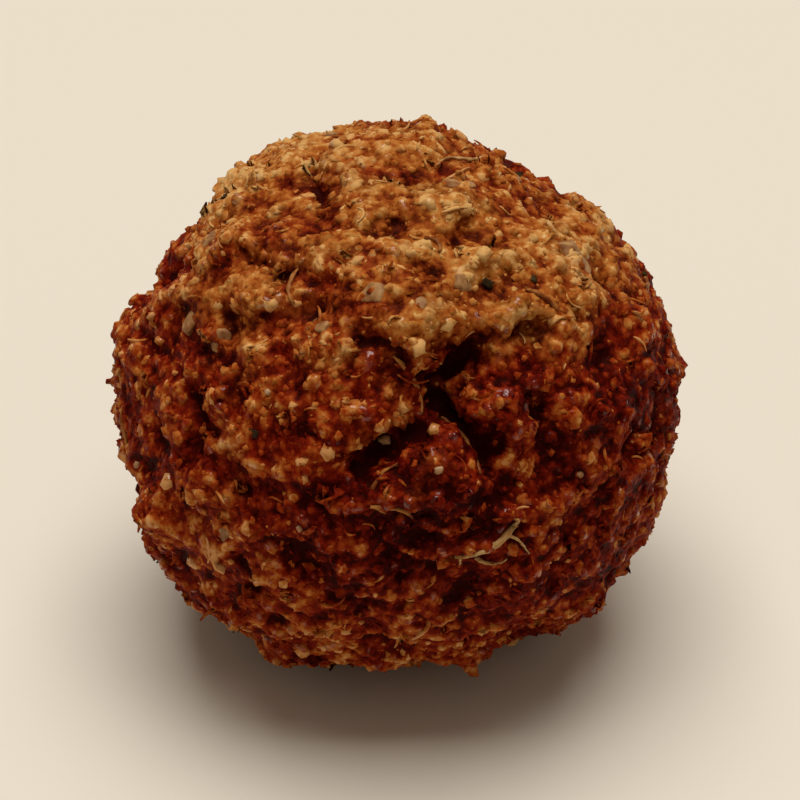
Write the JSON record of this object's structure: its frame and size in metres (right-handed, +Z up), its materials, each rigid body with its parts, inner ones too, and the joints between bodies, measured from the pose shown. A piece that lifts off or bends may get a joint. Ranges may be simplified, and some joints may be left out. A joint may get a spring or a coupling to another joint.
{
  "type": "fried pork meatball",
  "caption": "Round fried pork meatball with a craggy browned crumb crust, folds and cracks of mince, resting on a small flat spot.",
  "frame": {"origin": "middle of the bounding box's bottom, on the surface that the meatball rests on", "axes": "+Z up, -Y towards the side seen in the picture, +X to the right of that side"},
  "size_m": [0.0468, 0.045, 0.0426],
  "materials": {
    "crust": "browned fried crumb crust, slightly oily"
  },
  "bodies": {
    "root": {"meatball": "crust"}
  },
  "joints": []
}
